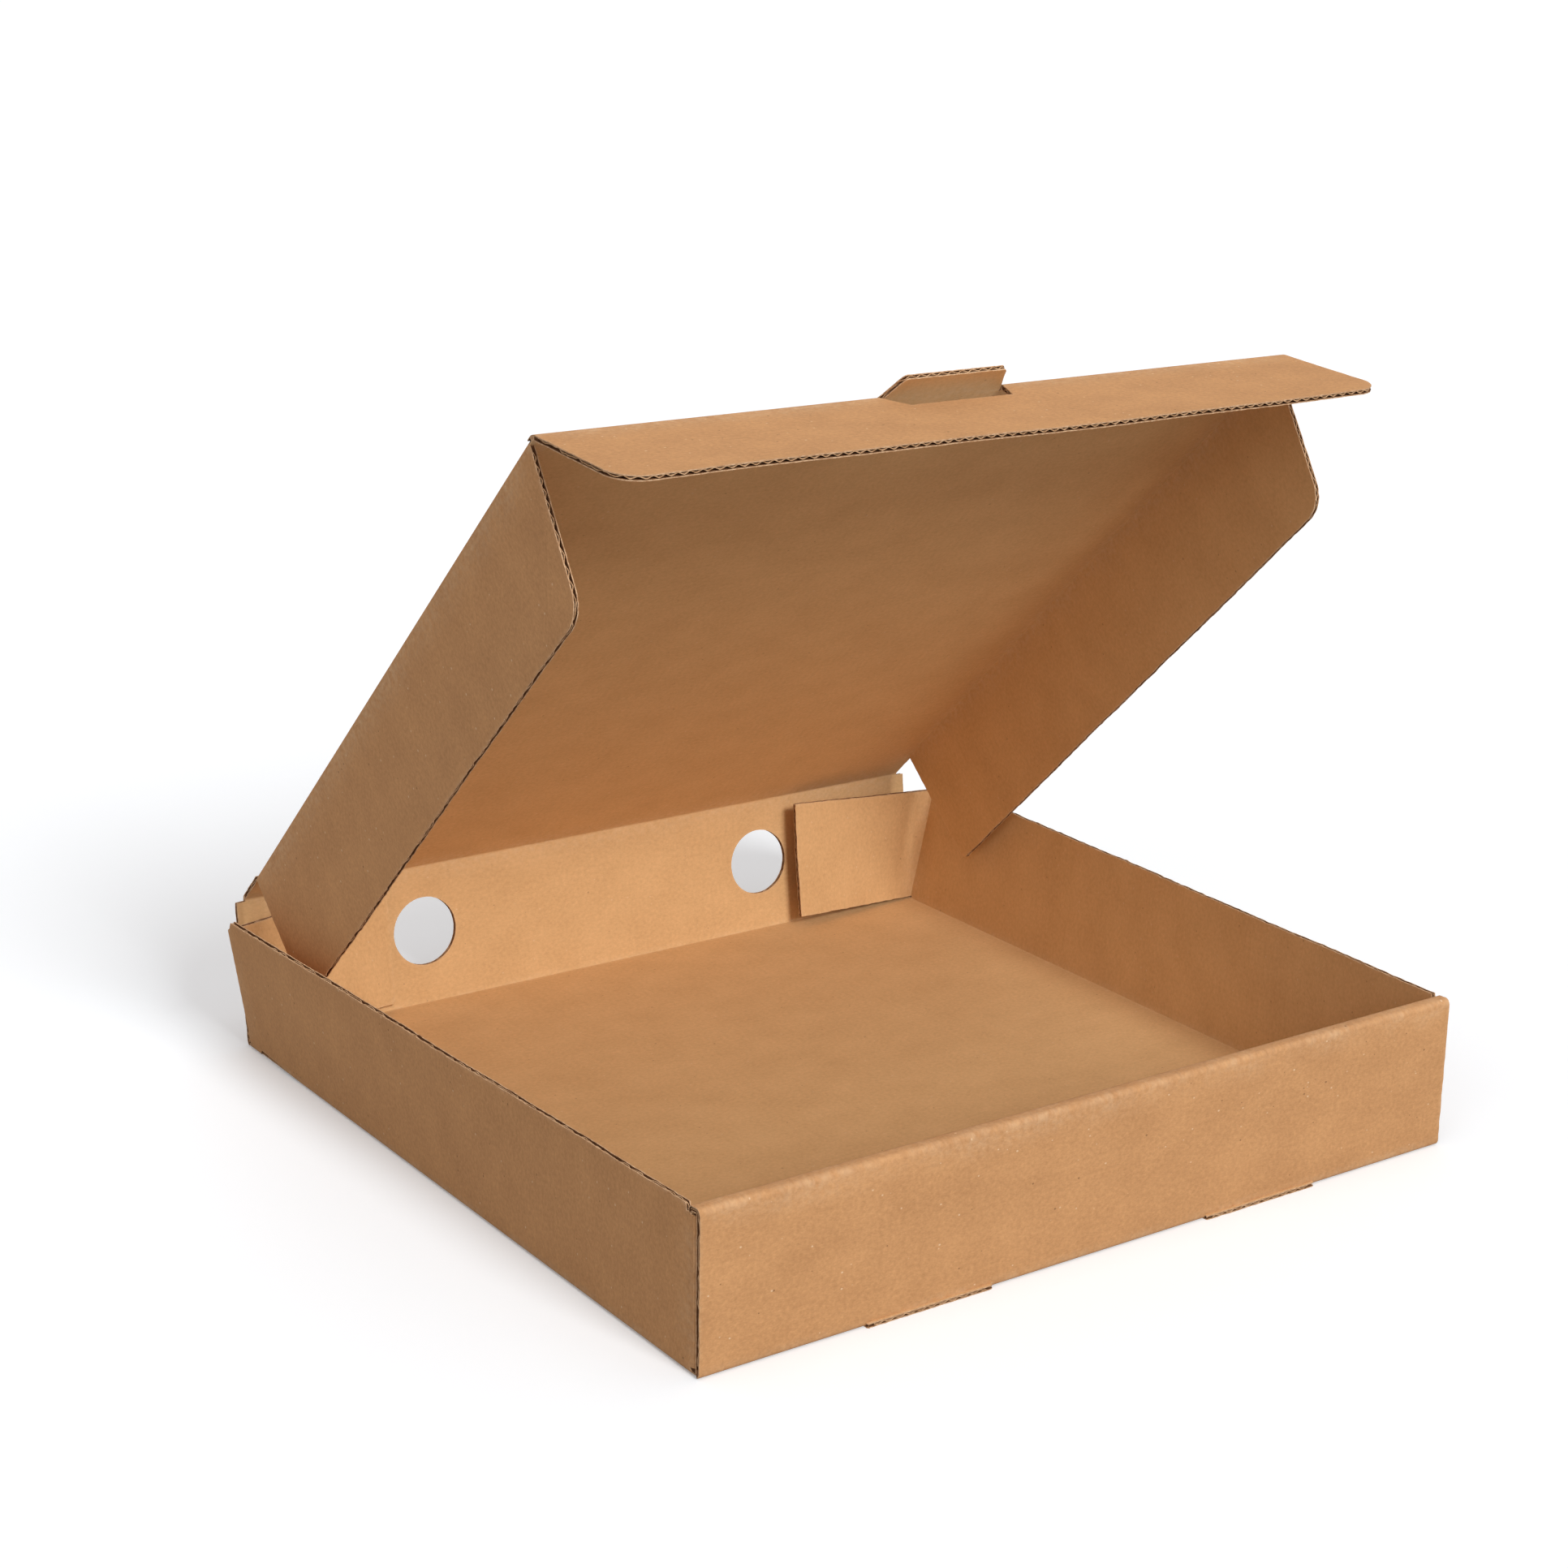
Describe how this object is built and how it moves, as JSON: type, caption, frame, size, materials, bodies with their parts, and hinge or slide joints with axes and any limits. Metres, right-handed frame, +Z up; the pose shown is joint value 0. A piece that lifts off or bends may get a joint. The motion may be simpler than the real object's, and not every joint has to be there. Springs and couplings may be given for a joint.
{
  "type": "pizza box",
  "caption": "Square corrugated kraft pizza box, standing open: a folded tray with a rolled front wall and a hinged tuck lid.",
  "frame": {"origin": "middle of the base's underside, on the surface that the box stands on", "axes": "+Z up, +Y from the front wall towards the rear wall, +X to the right seen from the front"},
  "size_m": [0.2695, 0.2602, 0.2238],
  "materials": {
    "kraft_board": "matt brown kraft liner, fluted at the cut edges"
  },
  "bodies": {
    "tray": {"tray": "kraft_board"},
    "lid": {"lid": "kraft_board"},
    "lid_front_flap": {"lid_front_flap": "kraft_board"},
    "lid_left_flap": {"lid_left_flap": "kraft_board"},
    "lid_right_flap": {"lid_right_flap": "kraft_board"}
  },
  "joints": [
    {"name": "lid_hinge", "type": "hinge", "parent": "tray", "child": "lid", "pos_m": [0, 0.13175, 0.04605], "axis": [-1, 0, 0], "range_deg": [-43.7, 43.5]},
    {"name": "front_flap_fold", "type": "hinge", "parent": "lid", "child": "lid_front_flap", "pos_m": [0, -0.04682, 0.2167], "axis": [-1, 0, 0], "range_deg": [-49, 48.8]},
    {"name": "left_flap_fold", "type": "hinge", "parent": "lid", "child": "lid_left_flap", "pos_m": [-0.1224, 0.13123, 0.04551], "axis": [0, -0.723, 0.6909], "range_deg": [0, 80]},
    {"name": "right_flap_fold", "type": "hinge", "parent": "lid", "child": "lid_right_flap", "pos_m": [0.1224, 0.13123, 0.04551], "axis": [0, 0.723, -0.6909], "range_deg": [0, 80]}
  ],
  "couplings": [
    {"joint": "front_flap_fold", "follows": "lid_hinge", "ratio": 1.12}
  ]
}
